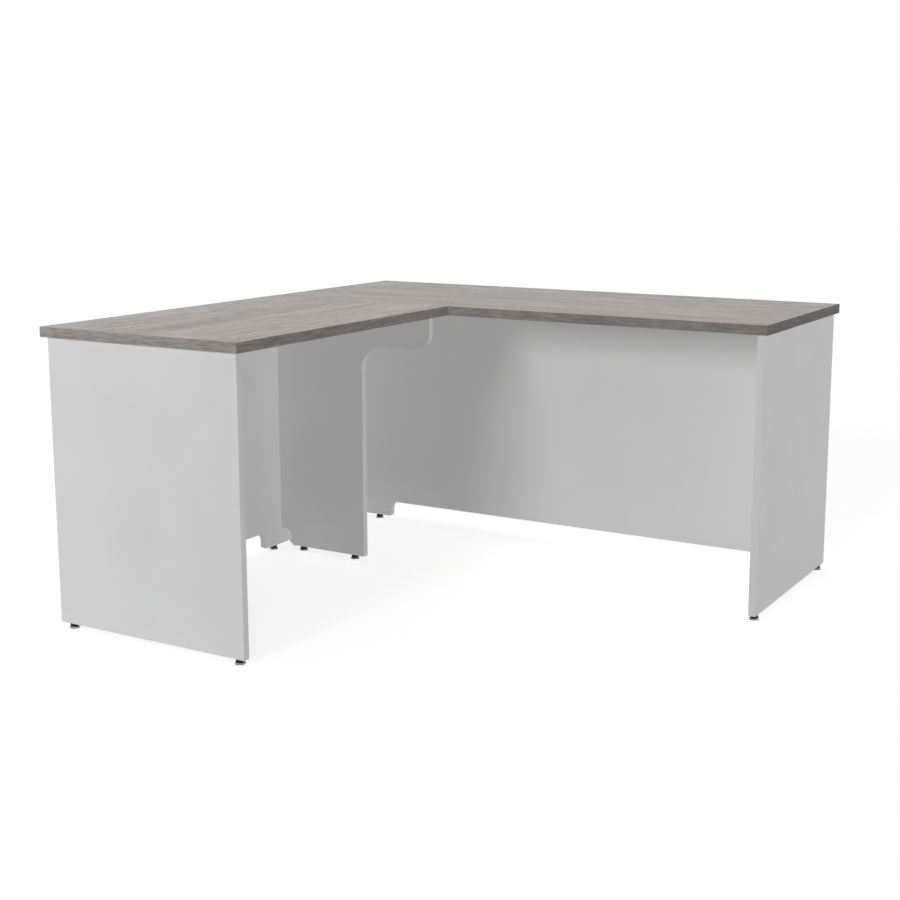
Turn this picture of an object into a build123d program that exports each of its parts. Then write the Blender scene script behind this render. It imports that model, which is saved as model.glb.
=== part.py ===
from build123d import *
import math
import os

# L-shaped desk, millimetres, +Z up.
# The origin is on the floor, below the centre of the square footprint.
# The main desk runs along X at the back (+Y), and the return runs along Y on the left (-X).

# Worktops
main_length = 1524.0
main_depth = 609.6
return_length = 914.4
return_depth = 609.6
top_thickness = 25.4
top_band = 2.0

# Panels
panel_height = 722.0
panel_thickness = 19.05
panel_band = 1.0
end_overhang = 10.0
front_overhang = 10.0
back_overhang = 15.2
modesty_recess = 164.6
modesty_clearance = 49.0
seam_to_support = 3.8

# Feet of the raised panels
foot_width = 101.6
foot_notch_radius = 25.0
foot_corner_radius = 8.0

# Curved support panel
support_column_edge = 319.5
support_tip_inset = 47.3
support_notch_width = 37.8
support_neck_height = 100.5
support_inner_radius = 63.5
support_outer_radius = 50.8

# Glides
glide_height = 12.0
glide_diameter = 25.4
glide_pad_height = 2.2
glide_pad_round = 0.5
glide_cap_top = 4.2
glide_cap_round = 1.8
glide_socket_floor = 1.0
glide_socket_lip = 1.2
glide_flange_radius = 6.0
glide_flange_thickness = 1.7
glide_neck_radius = 4.5
glide_neck_top = 5.0
glide_collar_flats = 19.0
glide_collar_chamfer = 0.6
glide_shank_radius = 3.97
glide_shank_length = 32.0
glide_shank_chamfer = 0.8
glide_running_clearance = 0.08
glide_socket_clearance = 0.3
end_glide_front_inset = 19.5
end_glide_back_inset = 35.5
support_glide_inset = 38.1

# Threaded inserts
insert_radius = 5.5
insert_length = 25.0
insert_flange_radius = 7.5
insert_flange_thickness = 1.5
shank_bore_radius = 4.6
shank_bore_spare = 4.0

# Cam fittings
cam_radius = 7.4
cam_height = 12.0
cam_recess = 1.0
cam_setback = 34.0
cam_slot_radius = 3.6
cam_recess_width = 1.6
cam_recess_length = 8.0
cam_recess_depth = 2.0
cap_radius = 8.5
cap_thickness = 0.8
cap_stub_radius = 6.8
bolt_head_radius = 3.4
bolt_head_length = 3.0
bolt_neck_radius = 2.2
bolt_neck_length = 5.0
bolt_body_radius = 3.5
bolt_thread_radius = 2.5
bolt_thread_length = 11.0
cam_height_shares = (0.17, 0.52, 0.87)

# Dowels
dowel_radius = 4.0
dowel_length = 30.0
dowel_edge_share = 2 / 3
dowel_height_shares = (0.30, 0.74)
corner_dowel_height_shares = (0.25, 0.80)
top_dowel_length = 40.0
top_dowel_shares = (0.14, 0.50, 0.86)

# Angle brackets and their screws
bracket_leg = 25.0
bracket_thickness = 2.0
bracket_width = 20.0
bracket_bend_radius = 2.5
bracket_hole_radius = 2.2
bracket_hole_distance = 16.0
screw_head_radius = 3.6
screw_head_height = 2.0
screw_head_chamfer = 1.0
screw_shank_radius = 1.7
screw_length = 14.0
screw_recess_width = 0.9
screw_recess_length = 4.0
screw_recess_depth = 1.1
end_bracket_shares = (0.22, 0.80)
side_bracket_shares = (0.30, 0.62)
main_bracket_shares = (0.14, 0.50, 0.86)
return_bracket_shares = (0.25, 0.75)
support_bracket_shares = (0.22, 0.78)

# Places worked out from the sizes above
left = -main_length / 2
right = main_length / 2
back = (main_depth + return_length) / 2
front = -back
seam = back - main_depth
inner = left + return_depth
panel_bottom = glide_height
panel_top = panel_bottom + panel_height
raised = panel_bottom + modesty_clearance
desk_height = panel_top + top_thickness
side_outer = left + back_overhang
side_inner = side_outer + panel_thickness
end_outer = front + end_overhang
end_inner = end_outer + panel_thickness
end_front = inner - front_overhang
right_outer = right - end_overhang
right_inner = right_outer - panel_thickness
right_front = seam + front_overhang
right_back = back - back_overhang
modesty_back = back - modesty_recess
modesty_front = modesty_back - panel_thickness
support_back = seam - seam_to_support
support_front = support_back - panel_thickness
support_tip = inner - support_tip_inset
overrun = panel_thickness


def block(low, high):
    """A box between two corners."""
    size = [b - a for a, b in zip(low, high)]
    corner = (Align.MIN, Align.MIN, Align.MIN)
    return Pos(*low) * Box(*size, align=corner)


def rod(start, direction, radius, length):
    """A round bar from a point along a direction."""
    seat = Plane(origin=start, z_dir=direction)
    return seat * Cylinder(radius, length, align=(Align.CENTER, Align.CENTER, Align.MIN))


def shifted(point, direction, distance):
    """A point moved along a direction."""
    return tuple(p + d * distance for p, d in zip(point, direction))


def opposite(direction):
    """The reverse of a direction."""
    return tuple(-d for d in direction)


def joined(solids):
    """Separate solids kept together as one group."""
    flat = []
    for item in solids:
        flat.extend(item.solids())
    return Compound(children=flat)


def upright(face, along_x, position):
    """A board drawn as (distance along, height), stood up with its low face at a position."""
    if along_x:
        turned = Plane(origin=(0, position, 0), x_dir=(1, 0, 0), z_dir=(0, -1, 0)) * face
        return extrude(turned, panel_thickness, dir=(0, 1, 0))
    turned = Plane(origin=(position, 0, 0), x_dir=(0, 1, 0), z_dir=(1, 0, 0)) * face
    return extrude(turned, panel_thickness, dir=(1, 0, 0))


def edge_rounded(points, radii):
    """A closed outline through points, with a radius at each corner that has one."""
    corners = len(points)
    wire_edges = []
    starts = []
    ends = []
    for i, radius in enumerate(radii):
        here = Vector(*points[i])
        before = (Vector(*points[i - 1]) - here).normalized()
        after = (Vector(*points[(i + 1) % corners]) - here).normalized()
        starts.append(here + before * radius)
        ends.append(here + after * radius)
        if radius:
            middle = here + (before + after) * radius
            bulge = middle + (here - middle).normalized() * radius
            wire_edges.append(ThreePointArc(starts[i], bulge, ends[i]).edge())
    for i in range(corners):
        wire_edges.append(Line(ends[i], starts[(i + 1) % corners]).edge())
    return make_face(Wire(wire_edges).edges())


# Worktops and their edge bands
def banded_top(low, high):
    """A worktop core with four strips round it, the long ones running past the short ones."""
    core_low = (low[0] + top_band, low[1] + top_band, panel_top)
    core_high = (high[0] - top_band, high[1] - top_band, desk_height)
    core = block(core_low, core_high)
    strips = [
        block((low[0], low[1], panel_top), (high[0], core_low[1], desk_height)),
        block((low[0], core_high[1], panel_top), (high[0], high[1], desk_height)),
        block((low[0], core_low[1], panel_top), (core_low[0], core_high[1], desk_height)),
        block((core_high[0], core_low[1], panel_top), (high[0], core_high[1], desk_height)),
    ]
    return core, strips


# End panels and their edge bands
def banded_end(start, end, along_x, position):
    """A plain end panel, banded on both upright edges and along the bottom."""
    inner_start = start + panel_band
    inner_end = end - panel_band
    band_top = panel_bottom + panel_band

    def board(from_edge, low, to_edge, high):
        points = ((from_edge, low), (to_edge, low), (to_edge, high), (from_edge, high))
        return upright(edge_rounded(points, (0, 0, 0, 0)), along_x, position)

    core = board(inner_start, band_top, inner_end, panel_top)
    strips = [
        board(start, panel_bottom, inner_start, panel_top),
        board(inner_end, panel_bottom, end, panel_top),
        board(inner_start, panel_bottom, inner_end, band_top),
    ]
    return core, strips


# Raised panels, with a foot at one end or both
def raised_outline(start, end, foot_at_start, foot_at_end, inset):
    """The outline of a raised panel, with its lower edge drawn in by an inset."""
    low = panel_bottom + inset
    lifted = raised + inset
    notch = foot_notch_radius + inset
    corner = foot_corner_radius - inset
    points = []
    radii = []
    if foot_at_start:
        foot_side = start + foot_width - inset
        points += [(start, low), (foot_side, low), (foot_side, lifted)]
        radii += [0, corner, notch]
    else:
        points.append((start, lifted))
        radii.append(0)
    if foot_at_end:
        foot_side = end - foot_width + inset
        points += [(foot_side, lifted), (foot_side, low), (end, low)]
        radii += [notch, corner, 0]
    else:
        points.append((end, lifted))
        radii.append(0)
    points += [(end, panel_top), (start, panel_top)]
    radii += [0, 0]
    return edge_rounded(points, radii)


def banded_raised(start, end, foot_at_start, foot_at_end, along_x, position):
    """A raised panel and the strip that follows its lower edge."""
    whole = upright(raised_outline(start, end, foot_at_start, foot_at_end, 0), along_x, position)
    core = upright(
        raised_outline(start, end, foot_at_start, foot_at_end, panel_band), along_x, position
    )
    return core, [whole - core]


# Curved support panel
def support_outline(inset):
    """The S-curved upright, with its lower and free edges drawn in by an inset."""
    low = panel_bottom + inset
    notch_top = raised + inset
    notch_side = side_inner + support_notch_width + inset
    column = side_outer + support_column_edge - inset
    tip = support_tip - inset
    underside = panel_top - support_neck_height + inset
    points = (
        (side_inner, notch_top),
        (notch_side, notch_top),
        (notch_side, low),
        (column, low),
        (column, underside),
        (tip, underside),
        (tip, panel_top),
        (side_inner, panel_top),
    )
    radii = (
        0,
        foot_notch_radius + inset,
        foot_corner_radius - inset,
        0,
        support_inner_radius + inset,
        support_outer_radius - inset,
        0,
        0,
    )
    return edge_rounded(points, radii)


def banded_support():
    """The curved panel, with one strip on its free edge and one under its foot."""
    core = upright(support_outline(panel_band), True, support_front)
    ring = upright(support_outline(0), True, support_front) - core
    split = side_outer + support_column_edge - panel_band
    low = (split, support_front - overrun, panel_bottom)
    high = (right, support_back + overrun, panel_top)
    free_side = block(low, high)
    return core, [ring & free_side, ring - free_side]


main_top, main_top_strips = banded_top((left, seam), (right, back))
return_top, return_top_strips = banded_top((left, front), (inner, seam))
left_end, left_end_strips = banded_end(side_outer, end_front, True, end_outer)
right_end, right_end_strips = banded_end(right_front, right_back, False, right_inner)
main_side, main_side_strips = banded_raised(seam, right_back, True, True, False, side_outer)
main_modesty, main_modesty_strips = banded_raised(
    side_inner, right_inner, True, False, True, modesty_front
)
return_modesty, return_modesty_strips = banded_raised(
    end_inner, seam, False, True, False, side_outer
)
support, support_strips = banded_support()

boards = {
    "main_top": main_top,
    "return_top": return_top,
    "left_end_panel": left_end,
    "right_end_panel": right_end,
    "main_side_panel": main_side,
    "main_modesty_panel": main_modesty,
    "return_modesty_panel": return_modesty,
    "curved_support_panel": support,
}
bands = {
    "main_top_edge_bands": main_top_strips,
    "return_top_edge_bands": return_top_strips,
    "left_end_panel_bands": left_end_strips,
    "right_end_panel_bands": right_end_strips,
    "main_side_panel_band": main_side_strips,
    "main_modesty_panel_band": main_modesty_strips,
    "return_modesty_panel_band": return_modesty_strips,
    "curved_support_panel_bands": support_strips,
}
fittings = {
    "angle_brackets": [],
    "bracket_screws": [],
    "cam_locks": [],
    "cam_bolts": [],
    "cam_cover_caps": [],
    "panel_dowels": [],
    "worktop_dowels": [],
    "glide_inserts": [],
}


def cut_board(name, tool):
    """Takes a tool out of one board."""
    boards[name] = boards[name] - tool


def cut_bands(name, tool):
    """Takes a tool out of every strip of one board's edge bands."""
    bands[name] = [strip - tool for strip in bands[name]]


# Cam joints, where the end of one panel butts against the face of another
def cam_parts(edge, inward, opening):
    """A cam lock, its bolt and its cap, with the edge point in the middle of the panel's thickness."""
    centre = shifted(edge, inward, cam_setback)
    mouth = shifted(centre, opening, panel_thickness / 2)
    cam_top = shifted(mouth, opposite(opening), cam_recess)
    pocket_depth = cam_recess + cam_height
    pocket = rod(mouth, opposite(opening), cam_radius, pocket_depth)
    cam = rod(cam_top, opposite(opening), cam_radius, cam_height)
    cam = cam - rod(centre, opposite(inward), cam_slot_radius, cam_radius + overrun)
    cam = cam - rod(centre, inward, cam_slot_radius, bolt_head_length)
    seat = Plane(origin=cam_top, x_dir=inward, z_dir=opening)
    long_slot = Box(cam_recess_length, cam_recess_width, 2 * cam_recess_depth)
    cross_slot = Box(cam_recess_width, cam_recess_length, 2 * cam_recess_depth)
    cam = cam - seat * long_slot - seat * cross_slot
    cap = rod(mouth, opening, cap_radius, cap_thickness)
    cap = cap + rod(mouth, opposite(opening), cap_stub_radius, cap_thickness)
    head_start = shifted(centre, inward, bolt_head_length / 2)
    neck_start = shifted(head_start, opposite(inward), bolt_head_length)
    body_start = shifted(neck_start, opposite(inward), bolt_neck_length)
    body_length = cam_setback + bolt_head_length / 2 - bolt_head_length - bolt_neck_length
    bolt = rod(head_start, opposite(inward), bolt_head_radius, bolt_head_length)
    bolt = bolt + rod(neck_start, opposite(inward), bolt_neck_radius, bolt_neck_length)
    bolt = bolt + rod(body_start, opposite(inward), bolt_body_radius, body_length)
    bolt = bolt + rod(edge, opposite(inward), bolt_thread_radius, bolt_thread_length)
    thread_hole = rod(edge, opposite(inward), bolt_thread_radius, bolt_thread_length)
    body_hole = rod(edge, inward, bolt_body_radius, cam_setback)
    return cam, bolt, cap, pocket + body_hole, thread_hole


def dowel_at(middle, direction, length):
    """A dowel centred on a joint."""
    return rod(shifted(middle, direction, -length / 2), direction, dowel_radius, length)


def butt_joint(holder, face_board, place, inward, opening, low):
    """Cams and dowels up the height of one joint."""
    height = panel_top - low
    for share in cam_height_shares:
        edge = (place[0], place[1], low + height * share)
        cam, bolt, cap, holder_cut, face_cut = cam_parts(edge, inward, opening)
        fittings["cam_locks"].append(cam)
        fittings["cam_bolts"].append(bolt)
        fittings["cam_cover_caps"].append(cap)
        cut_board(holder, holder_cut)
        cut_board(face_board, face_cut)
    for share in dowel_height_shares:
        edge = (place[0], place[1], low + height * share)
        edge_part = dowel_length * dowel_edge_share
        dowel = rod(shifted(edge, inward, edge_part), opposite(inward), dowel_radius, dowel_length)
        fittings["panel_dowels"].append(dowel)
        cut_board(holder, dowel)
        cut_board(face_board, dowel)


side_middle = (side_outer + side_inner) / 2
modesty_middle = (modesty_front + modesty_back) / 2
support_middle = (support_front + support_back) / 2
butt_joint(
    "return_modesty_panel", "left_end_panel", (side_middle, end_inner), (0, 1, 0), (-1, 0, 0), raised
)
butt_joint(
    "curved_support_panel",
    "return_modesty_panel",
    (side_inner, support_middle),
    (1, 0, 0),
    (0, 1, 0),
    raised,
)
butt_joint(
    "main_modesty_panel", "main_side_panel", (side_inner, modesty_middle), (1, 0, 0), (0, 1, 0), raised
)
butt_joint(
    "main_modesty_panel",
    "right_end_panel",
    (right_inner, modesty_middle),
    (-1, 0, 0),
    (0, 1, 0),
    raised,
)

# Dowels across the corner, where the return modesty panel meets the main side panel
for share in corner_dowel_height_shares:
    middle = (side_middle, seam, raised + (panel_top - raised) * share)
    dowel = dowel_at(middle, (0, 1, 0), dowel_length)
    fittings["panel_dowels"].append(dowel)
    cut_board("return_modesty_panel", dowel)
    cut_board("main_side_panel", dowel)

# Dowels across the seam between the worktops
for share in top_dowel_shares:
    middle = (left + return_depth * share, seam, panel_top + top_thickness / 2)
    dowel = dowel_at(middle, (0, 1, 0), top_dowel_length)
    fittings["worktop_dowels"].append(dowel)
    for top_name in ("main_top", "return_top"):
        cut_board(top_name, dowel)
        cut_bands(top_name + "_edge_bands", dowel)


# Angle brackets between a panel's face and the underside of a worktop
def screw_at(seat_point, direction):
    """A pan-head screw whose head sits on a point and whose shank goes along a direction."""
    seat = Plane(origin=seat_point, z_dir=opposite(direction))
    outline = Plane.XZ * make_face(
        Polyline(
            (0, 0),
            (screw_head_radius, 0),
            (screw_head_radius, screw_head_height - screw_head_chamfer),
            (screw_head_radius - screw_head_chamfer, screw_head_height),
            (0, screw_head_height),
            close=True,
        )
    )
    head = revolve(outline, Axis.Z)
    top = Pos(0, 0, screw_head_height)
    head = head - top * Box(screw_recess_length, screw_recess_width, 2 * screw_recess_depth)
    head = head - top * Box(screw_recess_width, screw_recess_length, 2 * screw_recess_depth)
    shank = rod(seat_point, direction, screw_shank_radius, screw_length)
    return seat * head + shank, shank


def bracket_at(point, normal, board_name, top_name):
    """An angle bracket on a board's face, with its two screws and their holes."""
    across = (-normal[1], normal[0], 0)
    origin = shifted(point, across, -bracket_width / 2)
    seat = Plane(origin=origin, x_dir=normal, z_dir=across)
    points = (
        (0, 0),
        (bracket_leg, 0),
        (bracket_leg, bracket_thickness),
        (bracket_thickness, bracket_thickness),
        (bracket_thickness, bracket_leg),
        (0, bracket_leg),
    )
    bend = bracket_bend_radius - bracket_thickness
    section = edge_rounded(points, (bracket_bend_radius, 0, 0, bend, 0, 0))
    bracket = extrude(seat * section, bracket_width, dir=across)
    up = (0, 0, 1)
    down = (0, 0, -1)
    on_top = shifted(point, normal, bracket_hole_distance)
    on_board = shifted(point, down, bracket_hole_distance)
    bracket = bracket - rod(on_top, down, bracket_hole_radius, bracket_thickness)
    bracket = bracket - rod(on_board, normal, bracket_hole_radius, bracket_thickness)
    top_screw, top_hole = screw_at(shifted(on_top, down, bracket_thickness), up)
    board_screw, board_hole = screw_at(
        shifted(on_board, normal, bracket_thickness), opposite(normal)
    )
    fittings["angle_brackets"].append(bracket)
    fittings["bracket_screws"] += [top_screw, board_screw]
    cut_board(top_name, top_hole)
    cut_board(board_name, board_hole)


def between(low, high, share):
    """The value at a share of the way from low to high."""
    return low + (high - low) * share


for share in end_bracket_shares:
    spot = (between(side_inner, end_front, share), end_inner, panel_top)
    bracket_at(spot, (0, 1, 0), "left_end_panel", "return_top")
for share in side_bracket_shares:
    spot = (right_inner, between(right_front, modesty_front, share), panel_top)
    bracket_at(spot, (-1, 0, 0), "right_end_panel", "main_top")
    spot = (side_inner, between(seam, modesty_front, share), panel_top)
    bracket_at(spot, (1, 0, 0), "main_side_panel", "main_top")
for share in main_bracket_shares:
    spot = (between(side_inner, right_inner, share), modesty_front, panel_top)
    bracket_at(spot, (0, -1, 0), "main_modesty_panel", "main_top")
for share in return_bracket_shares:
    spot = (side_inner, between(end_inner, support_front, share), panel_top)
    bracket_at(spot, (1, 0, 0), "return_modesty_panel", "return_top")
for share in support_bracket_shares:
    place = between(side_inner, support_tip, share)
    bracket_at((place, support_front, panel_top), (0, -1, 0), "curved_support_panel", "return_top")
    bracket_at((place, support_back, panel_top), (0, 1, 0), "curved_support_panel", "main_top")


# Levelling glides: a capped pad that stays still on the floor, and a threaded stem that turns in it
glide_edge = glide_diameter / 2
glide_socket = glide_flange_radius + glide_socket_clearance


def glide_pad(place):
    """The plastic pad, with a pocket that the stem's flange turns in."""
    points = (
        (0, 0),
        (glide_edge, 0),
        (glide_edge, glide_pad_height),
        (glide_socket, glide_pad_height),
        (glide_socket, glide_socket_floor),
        (0, glide_socket_floor),
    )
    outline = Plane.XZ * edge_rounded(points, (0, glide_pad_round, 0, 0, 0, 0))
    return Pos(*place) * revolve(outline, Axis.Z)


def glide_cap(place):
    """The round-shouldered steel cap on the pad, whose lip holds the flange down."""
    lip = glide_neck_radius + glide_running_clearance
    lip_bottom = glide_cap_top - glide_socket_lip
    points = (
        (glide_socket, glide_pad_height),
        (glide_edge, glide_pad_height),
        (glide_edge, glide_cap_top),
        (lip, glide_cap_top),
        (lip, lip_bottom),
        (glide_socket, lip_bottom),
    )
    outline = Plane.XZ * edge_rounded(points, (0, 0, glide_cap_round, 0, 0, 0))
    return Pos(*place) * revolve(outline, Axis.Z)


def glide_stem(place):
    """The flange, neck, hexagonal collar and shank, turned as one piece."""
    flange_top = glide_socket_floor + glide_flange_thickness
    shank_top = glide_height + glide_shank_length
    outline = Plane.XZ * make_face(
        Polyline(
            (0, glide_socket_floor),
            (glide_flange_radius, glide_socket_floor),
            (glide_flange_radius, flange_top),
            (glide_neck_radius, flange_top),
            (glide_neck_radius, glide_neck_top),
            (glide_shank_radius, glide_neck_top),
            (glide_shank_radius, shank_top - glide_shank_chamfer),
            (glide_shank_radius - glide_shank_chamfer, shank_top),
            (0, shank_top),
            close=True,
        )
    )
    turned = revolve(outline, Axis.Z)
    corner_radius = glide_collar_flats / math.sqrt(3)
    collar_height = glide_height - glide_neck_top
    hexagon = RegularPolygon(corner_radius, 6)
    collar = Pos(0, 0, glide_neck_top) * extrude(hexagon, collar_height)
    rounding = Pos(0, 0, glide_neck_top) * Cylinder(
        corner_radius, collar_height, align=(Align.CENTER, Align.CENTER, Align.MIN)
    )
    rounding = chamfer(rounding.edges().filter_by(GeomType.CIRCLE), glide_collar_chamfer)
    return Pos(*place) * (turned + (collar & rounding))


def insert_parts(place):
    """A threaded insert, flush with the panel's lower edge, and the hole for it."""
    start = (place[0], place[1], panel_bottom)
    up = (0, 0, 1)
    bore_radius = glide_shank_radius + glide_running_clearance
    bore_length = glide_shank_length + shank_bore_spare
    hole = rod(start, up, insert_radius, insert_length)
    hole = hole + rod(start, up, insert_flange_radius, insert_flange_thickness)
    insert = hole - rod(start, up, bore_radius, insert_length)
    hole = hole + rod(start, up, shank_bore_radius, bore_length)
    return insert, hole


foot_middle = foot_width / 2
glides = {
    "left_rear": ((side_outer + end_glide_back_inset, end_outer), "left_end_panel", True),
    "left_front": ((end_front - end_glide_front_inset, end_outer), "left_end_panel", True),
    "right_front": ((right_inner, right_front + end_glide_front_inset), "right_end_panel", False),
    "right_rear": ((right_inner, right_back - end_glide_back_inset), "right_end_panel", False),
    "side_front": ((side_outer, seam + foot_middle), "main_side_panel", False),
    "side_rear": ((side_outer, right_back - foot_middle), "main_side_panel", False),
    "main_modesty": ((side_inner + foot_middle, modesty_front), "main_modesty_panel", True),
    "return_modesty": ((side_outer, seam - foot_middle), "return_modesty_panel", False),
    "support_inner": (
        (side_inner + support_notch_width + support_glide_inset, support_front),
        "curved_support_panel",
        True,
    ),
    "support_outer": (
        (side_outer + support_column_edge - support_glide_inset, support_front),
        "curved_support_panel",
        True,
    ),
}
band_of = {
    "left_end_panel": "left_end_panel_bands",
    "right_end_panel": "right_end_panel_bands",
    "main_side_panel": "main_side_panel_band",
    "main_modesty_panel": "main_modesty_panel_band",
    "return_modesty_panel": "return_modesty_panel_band",
    "curved_support_panel": "curved_support_panel_bands",
}
glide_parts = {}
for name, (corner, board_name, along_x) in glides.items():
    half = panel_thickness / 2
    place = (corner[0], corner[1] + half, 0) if along_x else (corner[0] + half, corner[1], 0)
    insert, hole = insert_parts(place)
    fittings["glide_inserts"].append(insert)
    cut_board(board_name, hole)
    cut_bands(band_of[board_name], hole)
    glide_parts["glide_pad_" + name] = glide_pad(place)
    glide_parts["glide_cap_" + name] = glide_cap(place)
    glide_parts["glide_stem_" + name] = glide_stem(place)

os.makedirs("parts", exist_ok=True)
for name, board in boards.items():
    export_step(board, "parts/" + name + ".step")
for name, strips in bands.items():
    export_step(joined(strips), "parts/" + name + ".step")
for name, pieces in fittings.items():
    export_step(joined(pieces), "parts/" + name + ".step")
for name, piece in glide_parts.items():
    export_step(piece, "parts/" + name + ".step")
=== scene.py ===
import math

import bmesh
import bpy
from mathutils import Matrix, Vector


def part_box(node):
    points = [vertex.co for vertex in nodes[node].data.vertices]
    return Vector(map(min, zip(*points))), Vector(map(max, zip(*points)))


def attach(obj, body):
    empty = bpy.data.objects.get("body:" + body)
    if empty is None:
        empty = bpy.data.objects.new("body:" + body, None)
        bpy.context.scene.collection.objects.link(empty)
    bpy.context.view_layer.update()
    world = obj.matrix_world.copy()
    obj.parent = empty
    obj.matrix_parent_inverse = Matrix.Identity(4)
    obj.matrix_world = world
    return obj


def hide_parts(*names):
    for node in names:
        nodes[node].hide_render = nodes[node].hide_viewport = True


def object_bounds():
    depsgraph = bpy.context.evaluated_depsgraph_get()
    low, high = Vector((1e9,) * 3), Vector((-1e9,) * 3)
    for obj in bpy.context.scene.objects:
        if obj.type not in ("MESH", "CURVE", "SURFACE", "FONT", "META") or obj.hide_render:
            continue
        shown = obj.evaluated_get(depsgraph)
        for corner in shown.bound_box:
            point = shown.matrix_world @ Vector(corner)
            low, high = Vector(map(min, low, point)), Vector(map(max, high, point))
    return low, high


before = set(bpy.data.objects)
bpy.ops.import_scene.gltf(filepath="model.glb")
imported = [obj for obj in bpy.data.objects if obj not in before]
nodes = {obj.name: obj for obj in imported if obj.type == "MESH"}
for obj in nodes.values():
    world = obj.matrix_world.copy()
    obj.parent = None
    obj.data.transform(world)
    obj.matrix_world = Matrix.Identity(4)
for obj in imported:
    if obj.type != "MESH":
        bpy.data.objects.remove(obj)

cad_low, cad_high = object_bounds()

# Camera, as the photograph was taken: its place in metres, angles in degrees and lens in millimetres
CAMERA_PLACE = (1.9190, -3.2860, 1.1724)
CAMERA_TURN = 30.29
CAMERA_TILT = 80.02
CAMERA_LENS = 58.358
SENSOR_WIDTH = 36.0
CAMERA_SHIFT = (-0.0196, -0.0434)

# Lamps that light the desk, with distances in metres and powers in watts
# An aim is the lamp's azimuth and elevation in degrees, where 0 is in front and 90 at the right
LAMP_SIZE = 2.0
KEY_AIM = (0.0, 17.0)
KEY_DISTANCE = 9.0
KEY_POWER = 248.0
FRONT_FILL_AIM = (-52.0, 10.0)
FRONT_FILL_DISTANCE = 9.0
FRONT_FILL_POWER = 373.0
RIGHT_FILL_AIM = (90.0, 10.0)
RIGHT_FILL_DISTANCE = 30.0
RIGHT_FILL_POWER = 3450.0
BACK_AIM = (180.0, 15.0)
BACK_DISTANCE = 12.0
BACK_POWER = 640.0
LEFT_AIM = (270.0, 15.0)
LEFT_DISTANCE = 12.0
LEFT_POWER = 130.0
TOP_AIM = (0.0, 89.0)
TOP_DISTANCE = 6.0
TOP_POWER = 112.0

# Suns that light the floor, with spreads in degrees
SUN_DISTANCE = 9.0
FLOOR_KEY = 0.79
FLOOR_KEY_SPREAD = 13.0
FLOOR_SKY = 0.72
FLOOR_SKY_AIM = (0.0, 89.9)
FLOOR_SKY_SPREAD = 170.0

# Surroundings: the colour, its strength as a light and its strength to the eye
WORLD_COLOUR = (1.0, 1.0, 1.0, 1.0)
WORLD_LIGHT = 0.03
WORLD_LOOK = 1.0

# Floor: its side, its paper to the eye, its paper as it lights the desk, and its glow to the eye
FLOOR_SIZE = 120.0
FLOOR_PAPER = 0.80
FLOOR_BOUNCE = 0.70
FLOOR_GLOW = 0.762

# Colours of the laminates, the wood and the metals, as linear values
GRAIN_LIGHT = (0.510, 0.466, 0.440)
GRAIN_DARK = (0.250, 0.226, 0.211)
GRAIN_PORE = (0.190, 0.170, 0.157)
WHITE_BOARD = (0.740, 0.742, 0.742)
WHITE_BAND = (0.735, 0.737, 0.738)
WHITE_PLASTIC = (0.780, 0.780, 0.775)
BEECH_LIGHT = (0.600, 0.440, 0.280)
BEECH_DARK = (0.430, 0.290, 0.170)
NICKEL = (0.640, 0.628, 0.606)
ZINC = (0.600, 0.605, 0.620)
CAST_ZINC = (0.460, 0.465, 0.475)
DARK_STEEL = (0.026, 0.026, 0.028)
NYLON = (0.018, 0.018, 0.019)

# Kinds of noise, as detail and roughness
FLECKED = (1.0, 0.5)
SOFT = (2.0, 0.5)
CLOUDY = (3.0, 0.5)
WORN = (4.0, 0.6)
HAIRY = (4.0, 0.65)
FIBROUS = (5.0, 0.6)

# A noise's middle, and parts of its range that are spread over the whole range
NOISE_MIDDLE = 0.5
WHOLE = (0.0, 1.0)
BROAD = (0.3, 0.7)
CLOUD = (0.35, 0.65)

# Wood grain: a layer is its scale along the grain, its scale across the grain and its share
# The shifts keep one top from repeating the other's figure
GRAIN_LAYERS = ((0.9, 12.0, 0.20), (5.0, 32.0, 0.26), (18.0, 95.0, 0.27), (50.0, 260.0, 0.27))
GRAIN_SPREAD = 0.10
GRAIN_HAIRS = (16.0, 420.0)
GRAIN_PORES = (60.0, 1500.0)
GRAIN_PORE_RANGE = (0.60, 0.72)
GRAIN_PORE_SHARES = (0.0, 0.5)
GRAIN_WAVER_SCALE = 5.0
GRAIN_WAVER = 0.008
GRAIN_ROUGHNESS = (0.58, 0.48)
GRAIN_RELIEF = (0.35, 0.00006)
GRAIN_SHINE = 0.35
MAIN_SHIFT = (0.0, 0.3, 0.0)
RETURN_SHIFT = (0.7, 0.0, 0.2)
RETURN_LIFT = 1.03

# Wood grain of the edge bands: tones are those along the top's length and those across its end, and
# the grain of the end reaches a little way into its band, in metres
EDGE_LAYERS = ((6.0, 60.0, 0.22), (26.0, 240.0, 0.42), (34.0, 620.0, 0.36))
EDGE_SHINE = 0.15
MAIN_EDGE_SPREAD = 0.125
MAIN_EDGE_TONES = (0.65, 0.34)
RETURN_EDGE_SPREAD = 0.145
RETURN_EDGE_TONES = (0.65, 0.88)
END_REACH = 0.0008
END_LIMIT = cad_high.x - END_REACH

# Laminate and plastic: pebbles to a metre, roughness and shine, the clouds, and the pebble's relief
BOARD_PEBBLES = 1500.0
BOARD_ROUGHNESS = 0.42
BAND_PEBBLES = 700.0
BAND_ROUGHNESS = 0.36
COVER_PEBBLES = 1200.0
COVER_ROUGHNESS = 0.40
NYLON_PEBBLES = 1800.0
NYLON_ROUGHNESS = 0.50
NYLON_SHINE = 0.25
PLAIN_SHINE = 0.5
PLAIN_CLOUD_SCALE = 6.0
PLAIN_CLOUD_SHADE = 0.975
PEBBLE_SHEEN = 0.04
PEBBLE_RELIEF = (0.4, 0.00003)

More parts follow.
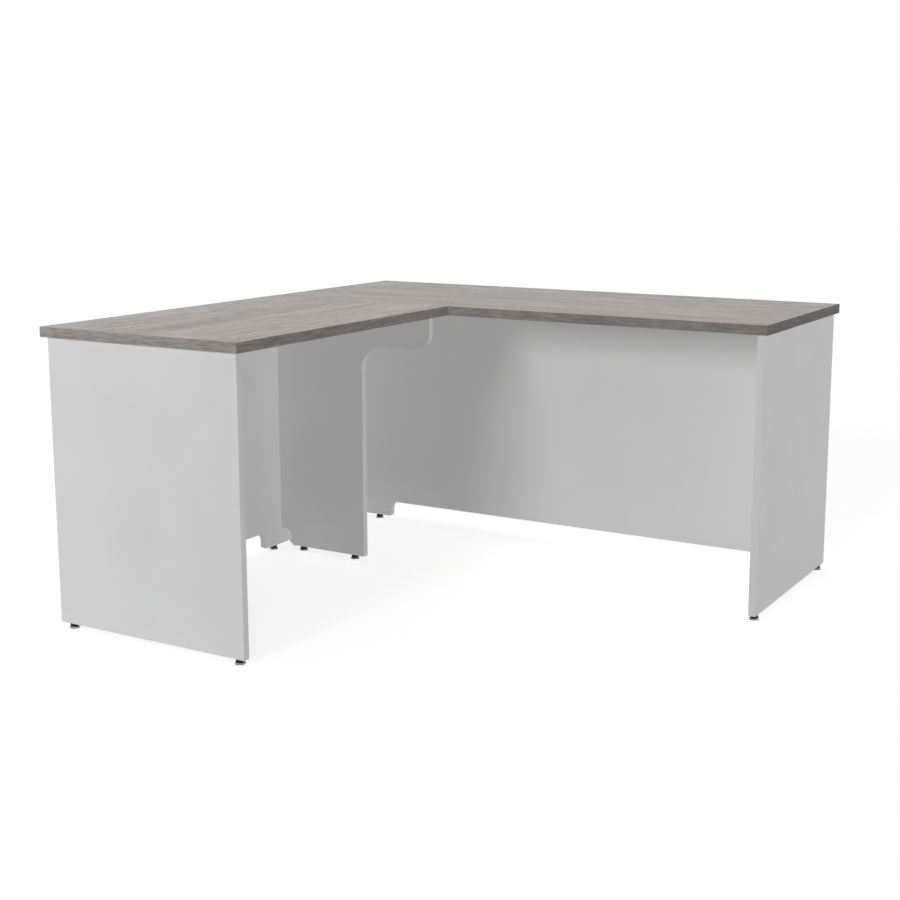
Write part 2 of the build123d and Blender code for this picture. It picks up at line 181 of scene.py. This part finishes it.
# Metal: roughness, the worn patches, and how fine and deep the scratches are
ZINC_ROUGHNESS = 0.34
CAST_ROUGHNESS = 0.50
NICKEL_ROUGHNESS = 0.24
DARK_STEEL_ROUGHNESS = 0.38
WORN_SCALE = 420.0
WORN_SHADE = 0.82
METAL_SHEEN_SHARES = (0.75, 1.3)
PLATE_SCRATCHES = (300.0, 300.0, 2500.0)
PLATE_DEPTH = 0.00001
CAST_PITS = (900.0, 900.0, 900.0)
CAST_DEPTH = 0.00005
METAL_STRENGTH = 0.3

# Beech: streaks and flecks, as scales along the grain and across it
BEECH_STREAKS = (25.0, 900.0)
BEECH_FLECKS = (260.0, 2200.0)
BEECH_FLECK_RANGE = (0.62, 0.72)
BEECH_FLECK_SHARES = (0.0, 0.6)
BEECH_ROUGHNESS = 0.62
BEECH_RELIEF = (0.4, 0.00005)

# Rounding of the board edges and of the small parts, in metres
BOARD_ROUND = 0.0003
METAL_ROUND = 0.00015
GLIDE_ROUND = 0.00025
ROUND_SEGMENTS = 2
ROUND_ANGLE = math.radians(40)
SAME_CORNER = 0.000002

# Glide stems: flange, neck, hexagonal collar and threaded shank, in metres from the floor
STEM_COLUMNS = 48
FLANGE_RADIUS = 0.0060
FLANGE_HEIGHT = 0.0017
NECK_RADIUS = 0.0045
COLLAR_BOTTOM = 0.0050
COLLAR_TOP = 0.0120
COLLAR_CONE = math.radians(30)
COLLAR_SIXTH = math.radians(60)
CONE_STEPS = 4
STEM_BREAK = 0.0002
THREAD_MAJOR = 0.00397
THREAD_ROOT = 0.00310
THREAD_PITCH = 0.001411
THREAD_SHARES = ((0.0, THREAD_ROOT), (0.22, THREAD_ROOT), (0.54, THREAD_MAJOR), (0.68, THREAD_MAJOR))
SAME_POINT = 0.000001
SHARP_ANGLE = math.radians(35)

X_AXIS, Y_AXIS = 0, 1


# Steps that materials are made of
def graph(name):
    """A new material, its node tree and its main shader."""
    material = bpy.data.materials.new(name)
    material.use_nodes = True
    return material, material.node_tree, material.node_tree.nodes["Principled BSDF"]


def own_place(tree):
    """Each point's place in the object's own axes."""
    return tree.nodes.new("ShaderNodeTexCoord").outputs["Object"]


def stretched(tree, scale=(1.0, 1.0, 1.0)):
    """Each point's place, scaled along each axis."""
    mapping = tree.nodes.new("ShaderNodeMapping")
    mapping.inputs["Scale"].default_value = scale
    tree.links.new(own_place(tree), mapping.inputs["Vector"])
    return mapping.outputs["Vector"]


def noise(tree, vector, kind, scale=1.0):
    """A noise texture's value."""
    texture = tree.nodes.new("ShaderNodeTexNoise")
    texture.inputs["Scale"].default_value = scale
    texture.inputs["Detail"].default_value, texture.inputs["Roughness"].default_value = kind
    tree.links.new(vector, texture.inputs["Vector"])
    return texture.outputs["Fac"]


def ranged(tree, value, limits, results=WHOLE):
    """A value carried from one range to another."""
    remap = tree.nodes.new("ShaderNodeMapRange")
    remap.inputs["From Min"].default_value, remap.inputs["From Max"].default_value = limits
    remap.inputs["To Min"].default_value, remap.inputs["To Max"].default_value = results
    tree.links.new(value, remap.inputs["Value"])
    return remap.outputs["Result"]


def maths(tree, kind, first, second):
    """One arithmetic step on two values, where the second may be a number."""
    step = tree.nodes.new("ShaderNodeMath")
    step.operation = kind
    tree.links.new(first, step.inputs[0])
    if isinstance(second, float):
        step.inputs[1].default_value = second
    else:
        tree.links.new(second, step.inputs[1])
    return step.outputs["Value"]


def mixed(tree, factor, first, second):
    """A blend of two colours, where each may be a socket."""
    mix = tree.nodes.new("ShaderNodeMix")
    mix.data_type = "RGBA"
    tree.links.new(factor, mix.inputs["Factor"])
    for socket, colour in ((mix.inputs["A"], first), (mix.inputs["B"], second)):
        if isinstance(colour, tuple):
            socket.default_value = (*colour, 1.0)
        else:
            tree.links.new(colour, socket)
    return mix.outputs["Result"]


def bumped(tree, shader, height, strength, distance):
    """Fine relief on a shader."""
    bump = tree.nodes.new("ShaderNodeBump")
    bump.inputs["Strength"].default_value = strength
    bump.inputs["Distance"].default_value = distance
    tree.links.new(height, bump.inputs["Height"])
    tree.links.new(bump.outputs["Normal"], shader.inputs["Normal"])


def shaded(colour, share):
    """A colour made lighter or darker."""
    return tuple(part * share for part in colour)


# Wood grain
def grain_place(tree, axis, offset):
    """Each point's place, turned so that its first part runs along the grain, with a slow waver."""
    place = own_place(tree)
    waver = maths(tree, "MULTIPLY", noise(tree, place, SOFT, GRAIN_WAVER_SCALE), GRAIN_WAVER)
    split = tree.nodes.new("ShaderNodeSeparateXYZ")
    tree.links.new(place, split.inputs["Vector"])
    parts = [split.outputs[i] for i in (axis, 1 - axis, 2)]
    parts[1] = maths(tree, "ADD", parts[1], waver)
    turned = tree.nodes.new("ShaderNodeCombineXYZ")
    for part, shift, socket in zip(parts, offset, turned.inputs):
        tree.links.new(maths(tree, "ADD", part, shift), socket)
    return turned.outputs["Vector"]


def turned_at_end(tree, place, axis, offset, side):
    """The grain's place, turned on the face at the top's end, and a value that is 1 there."""
    split = tree.nodes.new("ShaderNodeSeparateXYZ")
    tree.links.new(own_place(tree), split.inputs["Vector"])
    past = maths(tree, "GREATER_THAN", maths(tree, "MULTIPLY", split.outputs[axis], side), END_LIMIT)
    choice = tree.nodes.new("ShaderNodeMix")
    choice.data_type = "VECTOR"
    tree.links.new(past, choice.inputs["Factor"])
    tree.links.new(place, choice.inputs["A"])
    tree.links.new(grain_place(tree, 1 - axis, offset), choice.inputs["B"])
    return choice.outputs["Result"], past


def grain_noise(tree, place, kind, lengthwise, across):
    """Noise with one scale along the grain and another across it."""
    step = tree.nodes.new("ShaderNodeVectorMath")
    step.operation = "MULTIPLY"
    step.inputs[1].default_value = (lengthwise, across, across)
    tree.links.new(place, step.inputs[0])
    return noise(tree, step.outputs["Vector"], kind)


def grain_figure(tree, place, layers, spread):
    """The sum of a grain's layers, stretched from its darkest to its lightest part."""
    figure = None
    for lengthwise, across, share in layers:
        layer = maths(tree, "MULTIPLY", grain_noise(tree, place, SOFT, lengthwise, across), share)
        figure = maths(tree, "ADD", figure, layer) if figure else layer
    return ranged(tree, figure, (NOISE_MIDDLE - spread, NOISE_MIDDLE + spread))


def toned(tree, colour, tone):
    """A colour made lighter or darker by a value."""
    step = tree.nodes.new("ShaderNodeVectorMath")
    step.operation = "SCALE"
    tree.links.new(colour, step.inputs[0])
    tree.links.new(tone, step.inputs["Scale"])
    return step.outputs["Vector"]


def woodgrain(name, axis, offset, layers, spread, lift=1.0, end=None):
    """Grey wood-grain laminate: layers of clouds and streaks, hair lines and short pores.

    The lift makes the whole grain lighter. An edge band's end is the side of the axis at which the
    grain turns across the top's end, and the tones along the top's length and across its end.
    """
    material, tree, shader = graph(name)
    place = grain_place(tree, axis, offset)
    if end:
        side, tones = end
        place, past = turned_at_end(tree, place, axis, offset, side)
    figure = grain_figure(tree, place, layers, spread)
    hairs = grain_noise(tree, place, HAIRY, *GRAIN_HAIRS)
    pores = ranged(tree, grain_noise(tree, place, SOFT, *GRAIN_PORES), GRAIN_PORE_RANGE, GRAIN_PORE_SHARES)
    colour = mixed(tree, figure, shaded(GRAIN_DARK, lift), shaded(GRAIN_LIGHT, lift))
    colour = mixed(tree, pores, colour, shaded(GRAIN_PORE, lift))
    if end:
        colour = toned(tree, colour, ranged(tree, past, WHOLE, tones))
    tree.links.new(colour, shader.inputs["Base Color"])
    tree.links.new(ranged(tree, hairs, BROAD, GRAIN_ROUGHNESS), shader.inputs["Roughness"])
    bumped(tree, shader, maths(tree, "SUBTRACT", hairs, pores), *GRAIN_RELIEF)
    shader.inputs["Specular IOR Level"].default_value = EDGE_SHINE if end else GRAIN_SHINE
    return material


# Plain laminate, plastic, metal and beech
def pebbled(name, colour, roughness, pebbles, shine=PLAIN_SHINE):
    """Plain laminate or plastic: an even colour with a fine pebble and a faint cloudiness."""
    material, tree, shader = graph(name)
    cloud = ranged(tree, noise(tree, stretched(tree), CLOUDY, PLAIN_CLOUD_SCALE), CLOUD)
    clouded = mixed(tree, cloud, shaded(colour, PLAIN_CLOUD_SHADE), colour)
    tree.links.new(clouded, shader.inputs["Base Color"])
    pebble = noise(tree, stretched(tree), SOFT, pebbles)
    sheen = ranged(tree, pebble, BROAD, (roughness - PEBBLE_SHEEN, roughness + PEBBLE_SHEEN))
    tree.links.new(sheen, shader.inputs["Roughness"])
    bumped(tree, shader, pebble, *PEBBLE_RELIEF)
    shader.inputs["Specular IOR Level"].default_value = shine
    return material


def metal(name, colour, roughness, scratches=PLATE_SCRATCHES, depth=PLATE_DEPTH):
    """Plated or cast metal: an uneven sheen and a fine relief."""
    material, tree, shader = graph(name)
    cloud = ranged(tree, noise(tree, stretched(tree), WORN, WORN_SCALE), CLOUD)
    worn = mixed(tree, cloud, shaded(colour, WORN_SHADE), colour)
    tree.links.new(worn, shader.inputs["Base Color"])
    scratch = noise(tree, stretched(tree, scratches), WORN)
    sheen = ranged(tree, scratch, BROAD, tuple(roughness * share for share in METAL_SHEEN_SHARES))
    tree.links.new(sheen, shader.inputs["Roughness"])
    bumped(tree, shader, scratch, METAL_STRENGTH, depth)
    shader.inputs["Metallic"].default_value = 1.0
    return material


def along(axis, lengthwise, across):
    """A scale for grain that runs along one axis."""
    return tuple(lengthwise if i == axis else across for i in range(3))


def timber(name, axis):
    """Bare beech: fine streaks and short flecks along one axis."""
    material, tree, shader = graph(name)
    streaks = noise(tree, stretched(tree, along(axis, *BEECH_STREAKS)), FIBROUS)
    colour = mixed(tree, ranged(tree, streaks, BROAD), BEECH_DARK, BEECH_LIGHT)
    flecks = noise(tree, stretched(tree, along(axis, *BEECH_FLECKS)), FLECKED)
    fleck = ranged(tree, flecks, BEECH_FLECK_RANGE, BEECH_FLECK_SHARES)
    tree.links.new(mixed(tree, fleck, colour, BEECH_DARK), shader.inputs["Base Color"])
    bumped(tree, shader, streaks, *BEECH_RELIEF)
    shader.inputs["Roughness"].default_value = BEECH_ROUGHNESS
    return material


# Pieces from the solids
def dressed(names, material):
    """Gives one material to CAD nodes."""
    for name in names:
        for slot in nodes[name].material_slots:
            slot.material = material


def softened(names, width):
    """Rounds the sharp edges of CAD nodes a little, so that they catch light."""
    for name in names:
        piece = nodes[name]
        weld = piece.modifiers.new("weld", "WELD")
        weld.merge_threshold = SAME_CORNER
        bevel = piece.modifiers.new("round", "BEVEL")
        bevel.width = width
        bevel.segments = ROUND_SEGMENTS
        bevel.limit_method = "ANGLE"
        bevel.angle_limit = ROUND_ANGLE
        shading = piece.modifiers.new("shading", "WEIGHTED_NORMAL")
        shading.keep_sharp = True


def worktops():
    """The two tops and the bands round their edges."""
    grain = woodgrain("main_woodgrain", X_AXIS, MAIN_SHIFT, GRAIN_LAYERS, GRAIN_SPREAD)
    dressed(["main_top"], grain)
    grain = woodgrain("return_woodgrain", Y_AXIS, RETURN_SHIFT, GRAIN_LAYERS, GRAIN_SPREAD, RETURN_LIFT)
    dressed(["return_top"], grain)
    end = (1.0, MAIN_EDGE_TONES)
    edge = woodgrain("main_edge_woodgrain", X_AXIS, MAIN_SHIFT, EDGE_LAYERS, MAIN_EDGE_SPREAD, end=end)
    dressed(["main_top_edge_bands"], edge)
    end = (-1.0, RETURN_EDGE_TONES)
    edge = woodgrain("return_edge_woodgrain", Y_AXIS, RETURN_SHIFT, EDGE_LAYERS, RETURN_EDGE_SPREAD, end=end)
    dressed(["return_top_edge_bands"], edge)
    softened(["main_top", "return_top", "main_top_edge_bands", "return_top_edge_bands"], BOARD_ROUND)


def panels():
    """The white panels and the bands on their edges."""
    boards = [name for name in nodes if name.endswith("_panel")]
    bands = [name for name in nodes if name.endswith(("_panel_band", "_panel_bands"))]
    dressed(boards, pebbled("white_melamine", WHITE_BOARD, BOARD_ROUGHNESS, BOARD_PEBBLES))
    dressed(bands, pebbled("white_edging", WHITE_BAND, BAND_ROUGHNESS, BAND_PEBBLES))
    softened(boards + bands, BOARD_ROUND)


def fittings():
    """Brackets, screws, cams, cover caps, dowels and inserts."""
    zinc = metal("zinc_plate", ZINC, ZINC_ROUGHNESS)
    dressed(["angle_brackets", "bracket_screws", "cam_bolts", "glide_inserts"], zinc)
    dressed(["cam_locks"], metal("cast_metal", CAST_ZINC, CAST_ROUGHNESS, CAST_PITS, CAST_DEPTH))
    dressed(["cam_cover_caps"], pebbled("cap_plastic", WHITE_PLASTIC, COVER_ROUGHNESS, COVER_PEBBLES))
    dressed(["panel_dowels"], timber("beech_dowel", X_AXIS))
    dressed(["worktop_dowels"], timber("beech_seam_dowel", Y_AXIS))
    softened(["angle_brackets", "bracket_screws", "cam_cover_caps"], METAL_ROUND)


def glide_feet():
    """The bright caps and the dark pads of the glides."""
    caps = [name for name in nodes if name.startswith("glide_cap_")]
    pads = [name for name in nodes if name.startswith("glide_pad_")]
    dressed(caps, metal("nickel_plate", NICKEL, NICKEL_ROUGHNESS))
    dressed(pads, pebbled("pad_nylon", NYLON, NYLON_ROUGHNESS, NYLON_PEBBLES, NYLON_SHINE))
    softened(caps + pads, GLIDE_ROUND)


# Threaded glide stems, in place of the plain ones
def plain_row(radius, height):
    """A row of points with one radius and one height."""
    return [(radius, height)] * (STEM_COLUMNS + 1)


def column_angles():
    """The angle of each column of points, where the last one meets the first."""
    return [math.tau * column / STEM_COLUMNS for column in range(STEM_COLUMNS + 1)]


def collar_rows(corner):
    """A hexagonal collar with corners on the X axis, cut by a cone at each end."""
    half = COLLAR_SIXTH / 2
    flat = corner * math.cos(half)
    hexagon = [flat / math.cos(angle % COLLAR_SIXTH - half) for angle in column_angles()]
    depths = [(corner - flat) * math.tan(COLLAR_CONE) * step / CONE_STEPS for step in range(CONE_STEPS + 1)]
    lower = []
    for depth in depths:
        limit = flat + depth / math.tan(COLLAR_CONE)
        lower.append([(min(side, limit), COLLAR_BOTTOM + depth) for side in hexagon])
    upper = [[(side, COLLAR_BOTTOM + COLLAR_TOP - height) for side, height in row] for row in lower]
    return lower + upper[::-1]


def thread_rows(top):
    """A single-start thread from the collar to the tip, as rows that climb one pitch in a turn."""
    rows = []
    turns = math.ceil((top - COLLAR_TOP) / THREAD_PITCH)
    for turn in range(-1, turns + 1):
        for share, radius in THREAD_SHARES:
            row = []
            for column in range(STEM_COLUMNS + 1):
                height = COLLAR_TOP + THREAD_PITCH * (turn + share + column / STEM_COLUMNS)
                if COLLAR_TOP < height < top:
                    row.append((min(radius, THREAD_ROOT + top - height), height))
                else:
                    row.append((THREAD_ROOT, min(max(height, COLLAR_TOP), top)))
            rows.append(row)
    return rows


def stem_mesh(low, high):
    """A whole stem about its own axis, from the flange to the tip."""
    flange_top = low.z + FLANGE_HEIGHT
    rows = [
        plain_row(FLANGE_RADIUS - STEM_BREAK, low.z),
        plain_row(FLANGE_RADIUS, low.z + STEM_BREAK),
        plain_row(FLANGE_RADIUS, flange_top - STEM_BREAK),
        plain_row(FLANGE_RADIUS - STEM_BREAK, flange_top),
        plain_row(NECK_RADIUS, flange_top),
        plain_row(NECK_RADIUS, COLLAR_BOTTOM),
    ]
    rows += collar_rows((high.x - low.x) / 2) + thread_rows(high.z)
    shape = bmesh.new()
    grid = []
    for row in rows:
        turned = zip(row, column_angles())
        grid.append([shape.verts.new((r * math.cos(a), r * math.sin(a), z)) for (r, z), a in turned])
    for below, above in zip(grid, grid[1:]):
        for i in range(STEM_COLUMNS):
            shape.faces.new((below[i], below[i + 1], above[i + 1], above[i]))
    for ring in (grid[0][:-1], grid[-1][:-1]):
        shape.faces.new(ring)
    bmesh.ops.remove_doubles(shape, verts=shape.verts, dist=SAME_POINT)
    bmesh.ops.recalc_face_normals(shape, faces=shape.faces)
    for face in shape.faces:
        face.smooth = True
    mesh = bpy.data.meshes.new("threaded_stem")
    shape.to_mesh(mesh)
    shape.free()
    mesh.set_sharp_from_angle(angle=SHARP_ANGLE)
    return mesh


def threaded_stems():
    """A threaded stem for each plain one, on the same body."""
    dark = metal("dark_plate", DARK_STEEL, DARK_STEEL_ROUGHNESS)
    for node in [name for name in nodes if name.startswith("glide_stem_")]:
        low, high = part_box(node)
        mesh = stem_mesh(low, high)
        mesh.materials.append(dark)
        piece = bpy.data.objects.new(node.replace("glide_stem", "threaded_stem"), mesh)
        piece.location = ((low.x + high.x) / 2, (low.y + high.y) / 2, 0.0)
        bpy.context.scene.collection.objects.link(piece)
        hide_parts(node)
        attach(piece, node)


# Floor and surroundings
def seen_directly(tree):
    """A value that is 1 for the eye and for what is mirrored, and 0 where a surface lights another."""
    path = tree.nodes.new("ShaderNodeLightPath")
    looks = maths(tree, "MAXIMUM", path.outputs["Is Camera Ray"], path.outputs["Is Glossy Ray"])
    return maths(tree, "MAXIMUM", looks, path.outputs["Is Transmission Ray"])


def floor():
    """A pale floor that looks white and keeps the desk's soft shadow."""
    mesh = bpy.data.meshes.new("floor")
    shape = bmesh.new()
    bmesh.ops.create_grid(shape, x_segments=1, y_segments=1, size=FLOOR_SIZE / 2)
    shape.to_mesh(mesh)
    shape.free()
    ground = bpy.data.objects.new("floor", mesh)
    bpy.context.scene.collection.objects.link(ground)
    material, tree, shader = graph("floor_paper")
    tree.nodes.remove(shader)
    looks = seen_directly(tree)
    paper = tree.nodes.new("ShaderNodeBsdfDiffuse")
    tree.links.new(mixed(tree, looks, (FLOOR_BOUNCE,) * 3, (FLOOR_PAPER,) * 3), paper.inputs["Color"])
    glow = tree.nodes.new("ShaderNodeEmission")
    tree.links.new(maths(tree, "MULTIPLY", looks, FLOOR_GLOW), glow.inputs["Strength"])
    both = tree.nodes.new("ShaderNodeAddShader")
    tree.links.new(paper.outputs["BSDF"], both.inputs[0])
    tree.links.new(glow.outputs["Emission"], both.inputs[1])
    tree.links.new(both.outputs["Shader"], tree.nodes["Material Output"].inputs["Surface"])
    mesh.materials.append(material)
    return ground


def surroundings():
    """White all round, at full strength to the eye and in reflections, and lower as a light."""
    world = bpy.data.worlds.new("studio")
    bpy.context.scene.world = world
    world.use_nodes = True
    tree = world.node_tree
    lit = tree.nodes["Background"]
    seen = tree.nodes.new("ShaderNodeBackground")
    for background, strength in ((lit, WORLD_LIGHT), (seen, WORLD_LOOK)):
        background.inputs["Color"].default_value = WORLD_COLOUR
        background.inputs["Strength"].default_value = strength
    choice = tree.nodes.new("ShaderNodeMixShader")
    tree.links.new(seen_directly(tree), choice.inputs["Fac"])
    tree.links.new(lit.outputs["Background"], choice.inputs[1])
    tree.links.new(seen.outputs["Background"], choice.inputs[2])
    tree.links.new(choice.outputs["Shader"], tree.nodes["World Output"].inputs["Surface"])


# Lamps
def outward(aim):
    """The direction from the desk to a lamp."""
    turn, rise = (math.radians(angle) for angle in aim)
    return Vector((math.sin(turn) * math.cos(rise), -math.cos(turn) * math.cos(rise), math.sin(rise)))


def lamp(name, kind, aim, distance, strength, lit):
    """A lamp that faces the middle of the desk and lights one group of objects.

    It isn't mirrored, because its image would burn out the tops from some sides.
    """
    light = bpy.data.lights.new(name, kind)
    light.energy = strength
    holder = bpy.data.objects.new(name, light)
    holder.location = (cad_low + cad_high) / 2 + outward(aim) * distance
    holder.rotation_euler = (-outward(aim)).to_track_quat("-Z", "Y").to_euler()
    holder.light_linking.receiver_collection = lit
    holder.visible_glossy = False
    bpy.context.scene.collection.objects.link(holder)
    return light


def softbox(name, aim, distance, power, lit):
    """A square lamp."""
    light = lamp(name, "AREA", aim, distance, power, lit)
    light.shape = "SQUARE"
    light.size = LAMP_SIZE
    return light


def sun(name, aim, strength, spread, lit):
    """A sun, whose spread makes its shadows soft."""
    lamp(name, "SUN", aim, SUN_DISTANCE, strength, lit).angle = math.radians(spread)


def group(name, members):
    """A group of objects that a lamp lights."""
    collection = bpy.data.collections.new(name)
    for member in members:
        collection.objects.link(member)
    return collection


def lights(ground):
    """Lamps that only light the desk, and suns that only light the floor, for its soft shadow.

    The photograph's white faces are flat, so the two fills cast no shadow, and what the right fill
    lights doesn't light other faces.
    """
    pieces = [piece for piece in bpy.data.objects if piece.type == "MESH" and piece != ground]
    desk = group("desk_pieces", pieces)
    paper = group("ground", [ground])
    softbox("key", KEY_AIM, KEY_DISTANCE, KEY_POWER, desk)
    front_fill = softbox("front_fill", FRONT_FILL_AIM, FRONT_FILL_DISTANCE, FRONT_FILL_POWER, desk)
    front_fill.use_shadow = False
    right_fill = softbox("right_fill", RIGHT_FILL_AIM, RIGHT_FILL_DISTANCE, RIGHT_FILL_POWER, desk)
    right_fill.use_shadow = False
    right_fill.cycles.max_bounces = 0
    softbox("back_light", BACK_AIM, BACK_DISTANCE, BACK_POWER, desk)
    softbox("left_light", LEFT_AIM, LEFT_DISTANCE, LEFT_POWER, desk)
    softbox("top_light", TOP_AIM, TOP_DISTANCE, TOP_POWER, desk)
    sun("floor_key", KEY_AIM, FLOOR_KEY, FLOOR_KEY_SPREAD, paper)
    sun("floor_sky", FLOOR_SKY_AIM, FLOOR_SKY, FLOOR_SKY_SPREAD, paper)


# Camera
def camera():
    """The camera at the photograph's place."""
    lens = bpy.data.cameras.new("camera")
    lens.lens = CAMERA_LENS
    lens.sensor_width = SENSOR_WIDTH
    lens.shift_x, lens.shift_y = CAMERA_SHIFT
    holder = bpy.data.objects.new("camera", lens)
    holder.location = CAMERA_PLACE
    holder.rotation_euler = (math.radians(CAMERA_TILT), 0.0, math.radians(CAMERA_TURN))
    bpy.context.scene.collection.objects.link(holder)
    bpy.context.scene.camera = holder


worktops()
panels()
fittings()
glide_feet()
threaded_stems()
ground = floor()
surroundings()
lights(ground)
camera()
bpy.context.scene.view_settings.view_transform = "Standard"
